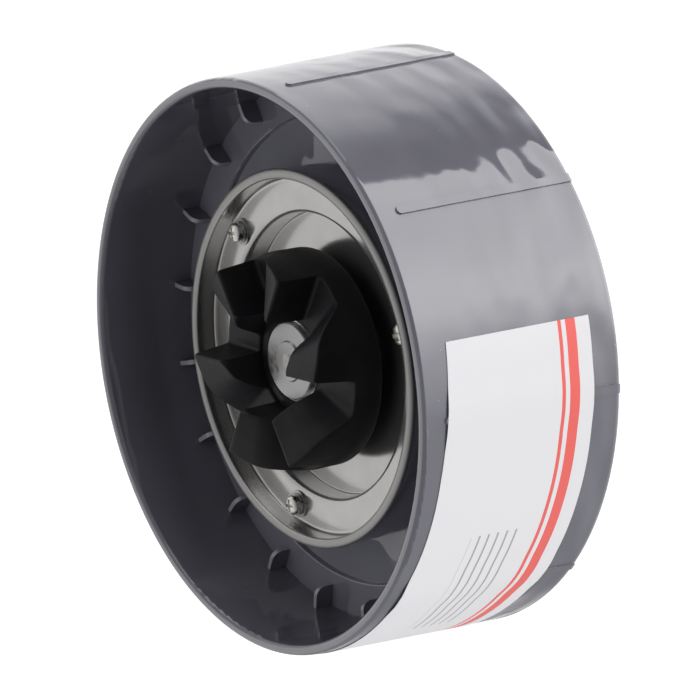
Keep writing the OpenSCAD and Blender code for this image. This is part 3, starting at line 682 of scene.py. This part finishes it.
def turned_shape(outline, columns=192):
    """Closed surface of an outline of radius and height that is turned once round the axis.

    The outline runs out along the bottom, up the outside, in over the top and down the inside.
    """
    angles = np.arange(columns) * FULL_TURN / columns
    points = cylindrical(outline[:, :1], angles, outline[:, 1:])
    return points.reshape(-1, 3), ring_grid(len(outline), columns, closed=True).tolist()


def bent_sheet(corners, reaches, thickness):
    """The two sides of a bent sheet: its middle line, with rounded corners, moved by half its thickness."""
    line = [corners[:1]]
    for k, reach in enumerate(reaches, start=1):
        line.append(rounded(corners[k - 1], corners[k], corners[k + 1], reach, steps=11))
    line = np.concatenate([*line, corners[-1:]])
    along = np.gradient(line, axis=0)
    along /= np.linalg.norm(along, axis=1, keepdims=True)
    across = np.stack([-along[:, 1], along[:, 0]], axis=-1) * thickness / 2
    return line - across, line + across


def dog_outline(size):
    """Angles and heights round the ring of dogs, both as arrays.

    From the foot of its steep flank a dog rises to its crest, then falls to the gap along a ramp. With t
    from 0 to 1 along that ramp, it has fallen by f(t) / f(1) of its height. There f(t) = q t + (1 - q)
    bent(t), where q is the flat slope, and bent is 0 up to the first knee, a parabola between the knees, and
    a straight line after them. The crest and the ramp's end lie at shares of the dogs' pitch. The corners at
    the foot, the crest and the ramp's end are rounded.
    """
    pitch = FULL_TURN / size.dogs
    mean_radius = (size.radius + size.recess_radius) / 2
    crest_at, ramp_end, flat_slope, knee_0, knee_1 = 0.037, 0.675, 0.277, 0.44, 0.78
    t = np.linspace(0, 1, 33)

    def fall(t):
        bent = np.where(t < knee_1, np.maximum(t - knee_0, 0) ** 2 / (2 * (knee_1 - knee_0)),
                        t - (knee_0 + knee_1) / 2)
        return flat_slope * t + (1 - flat_slope) * bent

    ramp = np.stack([(crest_at + (ramp_end - crest_at) * t) * pitch * mean_radius,
                     size.dog_height * (1 - fall(t) / fall(1.0))], axis=-1)
    foot, crest, end = np.zeros(2), ramp[0], ramp[-1]
    reach = size.crest_edge
    inner = (ramp[:, 0] > crest[0] + reach) & (ramp[:, 0] < end[0] - reach)
    flank = foot + (crest - foot) * np.linspace(0.12, 0.88, 12)[:, None]
    gap_floor = end + (np.array([pitch * mean_radius, 0]) - end) * np.linspace(0.15, 0.85, 8)[:, None]
    one = np.concatenate([rounded(foot - (1, 0), foot, crest, reach), flank,
                          rounded(foot, crest, ramp[1], reach), ramp[inner],
                          rounded(ramp[-2], end, end + (1, 0), reach), gap_floor])
    angles = one[:, 0] / mean_radius
    heights = one[:, 1]
    starts = np.arange(size.dogs)[:, None] * pitch
    return (starts + angles).ravel(), np.tile(heights, size.dogs)


def coupling_shape(size):
    """Closed surface of the coupling, as points and faces.

    Every column is the turned section at one angle, and its top follows the dogs: out along the underside,
    round the bottom edge, up the tapered outside to the height there, in over the top, down the dogs' inner
    face to the land, down the recess wall, and back down the bore with the pocket of the insert's flange.
    The round inner corner of the dogs cuts the top off where it is lower than the dog.
    """
    angles, above_gap = dog_outline(size)
    gap = size.tip - size.dog_height
    top = gap + above_gap
    edge, corner = size.edge, size.corner
    bottom_edge, clear_of_edge = 0.8 * MM, 0.3 * MM
    shoulder = gap - edge - clear_of_edge
    corner_radius = size.dog_inner_radius + corner
    corner_level = size.tip - corner
    quarter = np.linspace(0, pi / 2, 7)[:, None]

    def outside(level):
        return size.radius - size.taper * np.maximum(level - shoulder, 0) / size.dog_height

    def row(radius, level):
        return np.broadcast_arrays(radius, level, top[None, :])[:2]

    rise = np.linspace(0, 1, 14)[:, None]
    wall_level = shoulder + (top - edge - shoulder) * rise
    wall_top = outside(top - edge)
    inward = np.linspace(0, 1, 9)[1:-1, None]
    arc = np.linspace(0, pi / 2, 19)[:, None]
    arc_radius = corner_radius - corner * np.sin(arc)
    lip = np.maximum(size.dog_inner_radius + edge - arc_radius, 0)
    arc_level = np.minimum(top - edge + np.sqrt(np.maximum(edge ** 2 - lip ** 2, 0)),
                           corner_level + corner * np.cos(arc))
    face_top = arc_level[-1]
    land = shoulder
    flange_low = size.bottom + size.flange_level
    flange_high = flange_low + size.flange_thickness
    rows = [
        row(np.linspace(size.hub_radius, size.radius - bottom_edge, 5)[:-1, None], size.bottom),
        row(size.radius - bottom_edge * (1 - np.sin(quarter)),
            size.bottom + bottom_edge * (1 - np.cos(quarter))),
        row(size.radius, (size.bottom + bottom_edge + shoulder) / 2),
        row(outside(wall_level), wall_level),
        row(wall_top - edge * (1 - np.cos(quarter[1:])), top - edge * (1 - np.sin(quarter[1:]))),
        row((wall_top - edge) * (1 - inward) + corner_radius * inward, top),
        row(arc_radius, arc_level),
        row(size.dog_inner_radius, face_top + (land - face_top) * rise[1:]),
        row(size.recess_radius + edge, land),
        row(size.recess_radius, np.array([[land - edge], [(land + size.recess_floor) / 2]])),
        row(np.array([[size.hub_radius]] * 3 + [[size.flange_radius]] * 2 + [[size.hub_radius]]),
            np.array([[size.recess_floor], [(size.recess_floor + flange_high) / 2], [flange_high],
                      [flange_high], [flange_low], [flange_low]])),
    ]
    radius, level = joined(rows)
    return cylindrical(radius, angles, level).reshape(-1, 3), ring_grid(*radius.shape, closed=True).tolist()


def cover_shape(size):
    """The pressed cover: floor of the well, its wall, the flat ring, the side wall and a rolled rim.

    The rolled rim is a half ellipse over the end of the side wall: r = middle + a cos t, z = base + b sin t.
    """
    half = size.thickness / 2
    floor, ring, base = size.well_level - half, size.ring_level - half, size.rim_level - size.bead_height
    well, wall = size.well_radius + half, size.wall_radius + half
    corners = np.array([[size.hole_radius, floor], [well, floor], [well, ring], [wall, ring], [wall, base]])
    well_bend_share = 0.6
    reaches = (well_bend_share * size.bend, size.bend, size.bend)
    below, above = bent_sheet(corners, reaches, size.thickness)
    t = np.linspace(0, pi, 17)
    middle, half_width = (size.rim_radius + size.wall_radius) / 2, (size.rim_radius - size.wall_radius) / 2
    bead = np.stack([middle + half_width * np.cos(t), base + size.bead_height * np.sin(t)], axis=-1)
    return turned_shape(np.concatenate([below, bead, above[:-1][::-1]]))


def washer_shape(size):
    """A flat washer with both outer edges chamfered."""
    outer, inner = size.radius, size.radius - size.chamfer
    return turned_shape(np.array([
        [size.hole_radius, size.bottom], [inner, size.bottom], [outer, size.bottom + size.chamfer],
        [outer, size.top - size.chamfer], [inner, size.top], [size.hole_radius, size.top]]))


def cross_outline(size, angles):
    """Reach of the cross recess in each direction: its arms' ends, or their sides where those are nearer."""
    folded = np.abs((angles + pi / 4) % (pi / 2) - pi / 4)
    return np.minimum(size.cross_reach / np.cos(folded), size.cross_width / np.maximum(np.sin(folded), 1e-6))


def screw_shape(size):
    """Closed surface of a pan-head screw on the Z axis, as points and faces.

    The rows are rings from the tip up. The thread's radius is a clipped triangle wave of
    z / pitch - a / turn.
    The head's top is a flat dome, z = rise (1 - (r / R)^3)^(1/2), and its rings turn from a circle into the
    outline of the cross, whose wall then goes down to a cone.
    """
    arm = float(np.arctan2(size.cross_width, size.cross_reach))
    fold = np.concatenate([np.linspace(-pi / 4, -arm, 6)[:-1], np.linspace(-arm, arm, 5)[:-1],
                           np.linspace(arm, pi / 4, 6)[:-1]])
    angles = (np.arange(4)[:, None] * pi / 2 + fold).ravel()
    cross = cross_outline(size, angles)
    side_share, edge, plain_neck, run_out = 0.35, 0.1 * MM, 0.6 * MM, 0.4 * MM
    side = size.seat + side_share * (size.head_top - size.seat)

    def dome(radius):
        inside = np.maximum(1 - (radius / size.head_radius) ** 3, 0)
        return side + (size.head_top - side) * np.sqrt(inside)

    def row(radius, level):
        return np.broadcast_arrays(radius, level, cross[None, :])[:2]

    turns = (size.seat - size.tip) / size.thread_pitch
    z = np.linspace(size.tip + edge, size.seat, int(7 * turns))[:, None]
    wave = np.abs(2 * ((z / size.thread_pitch - angles / FULL_TURN) % 1) - 1)
    fade = np.clip((size.seat - plain_neck - z) / run_out, 0, 1)
    root = size.thread_depth * np.clip(1.3 * wave - 0.15, 0, 1) * fade
    closing = (np.linspace(0, 1, 11) ** 2)[:, None]
    mouth = cross * closing + size.head_radius * (1 - closing)
    sink = np.linspace(0, 1, 4)[1:, None]
    floor = size.head_top - size.cross_depth
    rows = [
        row(size.thread_radius - 0.5 * MM, size.tip),
        row(size.thread_radius - root, z),
        row(size.head_radius - edge, size.seat),
        row(size.head_radius, size.seat + edge),
        row(mouth, dome(mouth)),
        row(cross * (1 - 0.3 * sink), dome(cross) * (1 - sink) + floor * sink),
    ]
    radius, level = joined(rows)
    rings = cylindrical(radius, angles, level)
    count = radius.size
    points = np.concatenate([rings.reshape(-1, 3), [[0, 0, size.tip]], [[0, 0, floor - 0.15 * MM]]])
    last = np.arange(count - len(angles), count)
    faces = [*ring_grid(*radius.shape).tolist(), *fan(np.arange(len(angles))[::-1], count).tolist(),
             *fan(last, count + 1).tolist()]
    return points, faces


def split_washer_shape(size):
    """Closed surface of a spring washer on the Z axis: a square section swept along one turn less the gap.

    Its ends stand off by a share of the thickness, as a thread's would: z = rise (a / turn - 1/2).
    """
    steps = 64
    angles = np.linspace(size.spring_gap / 2, FULL_TURN - size.spring_gap / 2, steps)[:, None]
    chamfer, clearance, rise = 0.06 * MM, 0.03 * MM, 0.05 * MM
    low, high = size.spring_bottom + clearance, size.seat - clearance
    r0, r1 = size.spring_inner, size.spring_outer
    radius = np.array([r1 - chamfer, r1, r1, r1 - chamfer, r0 + chamfer, r0, r0, r0 + chamfer])
    level = np.array([high, high - chamfer, low + chamfer, low, low, low + chamfer, high - chamfer, high])
    lift = rise * (angles / FULL_TURN - 0.5)
    return cylindrical(radius, angles, level + lift).reshape(-1, 3), capped_tube(steps, len(radius))


def round_the_cover(size, points, faces, own_turns):
    """Copies of one shape at each cover screw, each turned about its own axis first."""
    copies = []
    for k, own in enumerate(own_turns):
        moved = turned(points, own) + (size.circle, 0, 0)
        copies.append(turned(moved, size.first + k * FULL_TURN / size.count))
    all_faces = [[corner + k * len(points) for corner in face] for k in range(len(copies)) for face in faces]
    return np.concatenate(copies), all_faces


def sticker_shape(size):
    """Closed sheet of paper on the collar's wall, as points, faces and one UV pair for each point.

    A point at angle a and height z stands at the wall's radius there, plus what it is lifted beside a rib:
    the rib's height, falling like a cosine to nothing over the tent's width. The two long edges run through
    a height for each of the edge angles.
    """
    steps, across, glue = 221, 12, 0.01 * MM
    a = np.linspace(size.first, size.last, steps)
    edge_angles = np.radians([166, 185, 204, 218, 229, 240, 254.3])
    upper = np.interp(a, edge_angles, np.array([45.6, 45.6, 45.3, 44.6, 44.1, 43.2, 41.8]) * MM)
    lower = np.interp(a, edge_angles, np.array([9.5, 9.0, 7.7, 7.5, 7.1, 6.8, 6.3]) * MM)
    v = np.linspace(1, 0, across)
    z = lower[:, None] + (upper - lower)[:, None] * v
    wall = WALL_LOW + (WALL_HIGH - WALL_LOW) * z / COLLAR_BOX[1][2]
    pitch = FULL_TURN / RIB_COUNT
    from_rib = np.abs((a + pitch / 2) % pitch - pitch / 2) * WALL_LOW
    beside = np.clip((from_rib - RIB_WIDTH / 2) / size.tent, 0, 1)
    lifted = RIB_HEIGHT * (1 + np.cos(pi * beside)) / 2
    inner = wall + glue + lifted[:, None]
    outside, inside = [cylindrical(radius, a[:, None], z) for radius in (inner + size.thickness, inner)]
    rings = np.concatenate([outside, inside[:, ::-1]], axis=1)
    uv_rows = np.stack(np.broadcast_arrays(np.linspace(0, 1, steps)[:, None], np.concatenate([v, v[::-1]])),
                       axis=-1)
    return rings.reshape(-1, 3), capped_tube(steps, 2 * across), uv_rows.reshape(-1, 2)


# Operators, one for each piece or group of like pieces

class BLADES_OT_collar(Operator):
    """Gives the collar its glossy moulded plastic"""
    bl_idname = "blades.collar"
    bl_label = "Collar"

    def execute(self, context):
        dress(collar_plastic(context.scene.blade_assembly.plastic), "collar")
        return {"FINISHED"}


class BLADES_OT_cover(Operator):
    """Makes the pressed cover with its soft bends and rolled rim"""
    bl_idname = "blades.cover"
    bl_label = "Steel cover"

    def execute(self, context):
        settings = context.scene.blade_assembly
        metal = settings.metal
        steel = turned_metal("cover_steel", metal.cover, metal.cover_roughness, ring_spacing=0.12 * MM,
                             ring_depth=0.0004 * MM, dull_from=settings.cover.wall_radius)
        add_piece("steel_cover_pressed", *cover_shape(settings.cover), steel, "base", "cover_steel",
                  "steel_cover")
        return {"FINISHED"}


class BLADES_OT_screws(Operator):
    """Makes the cover screws and spring washers, and finishes the flat washers"""
    bl_idname = "blades.screws"
    bl_label = "Cover screws"

    def execute(self, context):
        settings = context.scene.blade_assembly
        size = settings.screws
        points, faces = round_the_cover(size, *screw_shape(size), own_turns=(0.9, 0.35, 0.2))
        nickel = plated_metal("screw_steel", settings.metal.screw, roughness=0.26)
        add_piece("cover_screws_threaded", points, faces, nickel, "base", "screw_steel", "cover_screws")
        zinc = plated_metal("washer_steel", settings.metal.washer, roughness=0.3)
        points, faces = round_the_cover(size, *split_washer_shape(size), own_turns=(0.5, 2.2, 4.4))
        add_piece("spring_washers_split", points, faces, zinc, "base", "washer_steel", "spring_washers")
        dress(zinc, "flat_washers")
        return {"FINISHED"}


class BLADES_OT_coupling(Operator):
    """Makes the rubber coupling with its six saw-tooth dogs"""
    bl_idname = "blades.coupling"
    bl_label = "Drive coupling"

    def execute(self, context):
        settings = context.scene.blade_assembly
        black = rubber("coupling_rubber", settings.soft.coupling, settings.soft.coupling_roughness,
                       dust_share=0.12)
        add_piece("drive_coupling_moulded", *coupling_shape(settings.coupling), black, "rotor",
                  "coupling_rubber", "drive_coupling")
        return {"FINISHED"}


class BLADES_OT_shaft(Operator):
    """Makes the back washer, and finishes the shaft, the coupling's insert and the other washers on it"""
    bl_idname = "blades.shaft"
    bl_label = "Shaft and washers"

    def execute(self, context):
        settings = context.scene.blade_assembly
        metal = settings.metal
        ground = turned_metal("shaft_steel", metal.shaft, roughness=0.42, ring_spacing=0.1 * MM,
                              ring_depth=0.001 * MM)
        dress(ground, "shaft", "coupling_insert")
        satin = plated_metal("washer_steel_satin", metal.washer, roughness=0.42)
        dress(satin, "front_washer", "thrust_washer", "slinger_washer", "blade_spacer", "blade_washer")
        bright = plated_metal("washer_steel_bright", metal.screw, roughness=0.2)
        add_piece("back_washer_chamfered", *washer_shape(settings.washer), bright, "rotor", "washer_steel",
                  "back_washer")
        return {"FINISHED"}


class BLADES_OT_bearings(Operator):
    """Finishes the bearing housing, its bushes, felt and seals"""
    bl_idname = "blades.bearings"
    bl_label = "Bearings and seals"

    def execute(self, context):
        settings = context.scene.blade_assembly
        metal, soft = settings.metal, settings.soft
        alloy = turned_metal("housing_metal", metal.housing, roughness=0.3, ring_spacing=0.15 * MM,
                             ring_depth=0.003 * MM)
        dress(alloy, "bearing_housing")
        dress(sintered_bronze(metal), "drive_bush", "jar_bush")
        dress(oiled_felt(soft), "felt_ring")
        black = rubber("seal_rubber", soft.seal, roughness=0.4, dust_share=0.0)
        dress(black, "housing_ring_seal", "shaft_seal")
        dress(plated_metal("circlip_steel", metal.shaft, roughness=0.35), "seal_circlip")
        return {"FINISHED"}


class BLADES_OT_blades(Operator):
    """Finishes the two blades and the cap nut that holds them"""
    bl_idname = "blades.blades"
    bl_label = "Blades and nut"

    def execute(self, context):
        metal = context.scene.blade_assembly.metal
        dress(blade_steel(metal), "lower_blade", "upper_blade")
        dress(plated_metal("nut_steel", metal.screw, roughness=0.2), "blade_nut")
        return {"FINISHED"}


class BLADES_OT_gasket(Operator):
    """Gives the jar's gasket its pale silicone rubber"""
    bl_idname = "blades.gasket"
    bl_label = "Jar gasket"

    def execute(self, context):
        dress(silicone(context.scene.blade_assembly.soft), "jar_gasket")
        return {"FINISHED"}


class BLADES_OT_sticker(Operator):
    """Lays the printed paper sticker round the collar's wall"""
    bl_idname = "blades.sticker"
    bl_label = "Sticker"

    def execute(self, context):
        size = context.scene.blade_assembly.sticker
        points, faces, uv = sticker_shape(size)
        add_piece("sticker", points, faces, printed_paper(size), "base", "sticker_paper", uv=uv)
        return {"FINISHED"}


class BLADES_OT_studio(Operator):
    """Sets the floor, the soft light and the camera"""
    bl_idname = "blades.studio"
    bl_label = "Studio"

    def execute(self, context):
        studio = context.scene.blade_assembly.studio
        lay_floor(studio)
        light_world(context.scene, studio)
        hang_key_lamp(studio)
        place_camera(context.scene, studio)
        context.scene.view_settings.view_transform = "Standard"
        return {"FINISHED"}


# Studio

def direction(azimuth, elevation):
    """Unit vector towards a place in the sky."""
    return Vector((cos(azimuth) * cos(elevation), sin(azimuth) * cos(elevation), sin(elevation)))


def lay_floor(studio):
    """A white floor: mostly its own white to the camera above it, so that a faint shadow stays.

    A camera below it and all other rays look through it, so that the panels below light the object.
    """
    half = studio.floor_size / 2
    mesh = bpy.data.meshes.new("floor")
    corners = [(-half, -half, 0), (half, -half, 0), (half, half, 0), (-half, half, 0)]
    mesh.from_pydata(corners, [], [(0, 1, 2, 3)])
    tree = material_tree("floor")
    ray = tree.add("ShaderNodeLightPath").outputs
    shade, own_white, lit_share = studio.floor_shade, 1.01, 0.2
    shaded = tree.add("ShaderNodeBsdfDiffuse", {"Color": (shade, shade, shade, 1.0)})
    white = tree.add("ShaderNodeEmission", {"Strength": own_white - lit_share * shade})
    seen = tree.add("ShaderNodeAddShader", {0: shaded.outputs[0], 1: white.outputs[0]})
    clear = tree.add("ShaderNodeBsdfTransparent")
    below = tree.add("ShaderNodeNewGeometry").outputs["Backfacing"]
    from_above = tree.math("MULTIPLY", ray["Is Camera Ray"], tree.math("SUBTRACT", 1.0, below))
    either = tree.add("ShaderNodeMixShader", {0: from_above, 1: clear.outputs[0], 2: seen.outputs[0]})
    tree.add("ShaderNodeOutputMaterial", {"Surface": either.outputs[0]})
    mesh.materials.append(tree.owner)
    floor = bpy.data.objects.new("floor", mesh)
    bpy.context.scene.collection.objects.link(floor)


def light_world(scene, studio):
    """White behind the object, soft light from low down and from the top, and panels that gloss reflects."""
    scene.world = bpy.data.worlds.new("studio")
    tree = Tree(scene.world)
    x, y, z = tree.parts(tree.add("ShaderNodeTexCoord").outputs["Generated"])
    ray = tree.add("ShaderNodeLightPath").outputs
    around = tree.math("ADD", tree.math("DIVIDE", tree.math("ARCTAN2", y, x), FULL_TURN), 0.5)
    peak = max(brightness for _, brightness in PANELS)
    stops = [(azimuth / 360 + 0.5, brightness / peak) for azimuth, brightness in PANELS]
    below = tree.math("MULTIPLY", tree.ramp(around, stops), peak)
    facing = tree.math("ADD", tree.math("MULTIPLY", x, SKY_SLOPE * cos(SKY_BRIGHT_SIDE)),
                       tree.math("MULTIPLY", y, SKY_SLOPE * sin(SKY_BRIGHT_SIDE)))
    above = tree.math("ADD", facing, SKY_MIDDLE)
    gloss = tree.mix(tree.levels(z, *HORIZON), below, above)
    low = tree.levels(z, *LOW_LIGHT_END, studio.side_light, studio.top_light)
    soft = tree.math("MAXIMUM", low, tree.levels(z, *TOP_LIGHT_START, 0.0, studio.top_panel))
    light = tree.mix(ray["Is Glossy Ray"], soft, gloss)
    colour = tree.mix(ray["Is Camera Ray"], light, (1.0, 1.0, 1.0))
    background = tree.add("ShaderNodeBackground", {"Color": colour})
    tree.add("ShaderNodeOutputWorld", {"Surface": background.outputs[0]})


def hang_key_lamp(studio):
    """One large soft lamp, low on the side that the picture shows as its top."""
    lamp = bpy.data.lights.new("key", "AREA")
    lamp.energy = studio.key_power
    lamp.size = studio.key_size
    key = bpy.data.objects.new("key", lamp)
    towards = Vector(KEY_DIRECTION).normalized()
    key.location = towards * studio.key_distance
    key.rotation_euler = towards.to_track_quat("Z", "Y").to_euler()
    bpy.context.scene.collection.objects.link(key)


def place_camera(scene, studio):
    """Camera at its azimuth, elevation and distance from the target, rolled about its own axis."""
    back = direction(studio.azimuth, studio.elevation)
    level_right = Vector((0, 0, 1)).cross(back).normalized()
    level_up = back.cross(level_right)
    right = level_right * cos(studio.roll) - level_up * sin(studio.roll)
    up = level_right * sin(studio.roll) + level_up * cos(studio.roll)
    data = bpy.data.cameras.new("camera")
    data.lens = studio.lens
    data.sensor_width = studio.sensor
    data.clip_end = 20
    camera = bpy.data.objects.new("camera", data)
    rotation = Matrix((right, up, back)).transposed().to_4x4()
    camera.matrix_world = Matrix.Translation(Vector(studio.target) + back * studio.distance) @ rotation
    scene.collection.objects.link(camera)
    scene.camera = camera


class BLADES_PT_panel(Panel):
    """Lists the steps in the order in which they run"""
    bl_idname = "BLADES_PT_panel"
    bl_label = "Blade assembly"
    bl_space_type = "VIEW_3D"
    bl_region_type = "UI"
    bl_category = "Blades"

    def draw(self, context):
        for step in STEPS:
            self.layout.operator(step.bl_idname)


STEPS = (BLADES_OT_collar, BLADES_OT_cover, BLADES_OT_screws, BLADES_OT_coupling, BLADES_OT_shaft,
         BLADES_OT_bearings, BLADES_OT_blades, BLADES_OT_gasket, BLADES_OT_sticker, BLADES_OT_studio)
SETTINGS = (StudioSettings, PlasticSettings, MetalSettings, SoftSettings, CouplingSettings, CoverSettings,
            WasherSettings, ScrewSettings, StickerSettings, BladeAssemblySettings)
CLASSES = (*SETTINGS, *STEPS, BLADES_PT_panel)


def register():
    for kind in CLASSES:
        bpy.utils.register_class(kind)
    bpy.types.Scene.blade_assembly = PointerProperty(type=BladeAssemblySettings)


def unregister():
    del bpy.types.Scene.blade_assembly
    for kind in reversed(CLASSES):
        bpy.utils.unregister_class(kind)


def main():
    register()
    for step in STEPS:
        group, name = step.bl_idname.split(".")
        getattr(getattr(bpy.ops, group), name)()


if __name__ == "__main__":
    main()
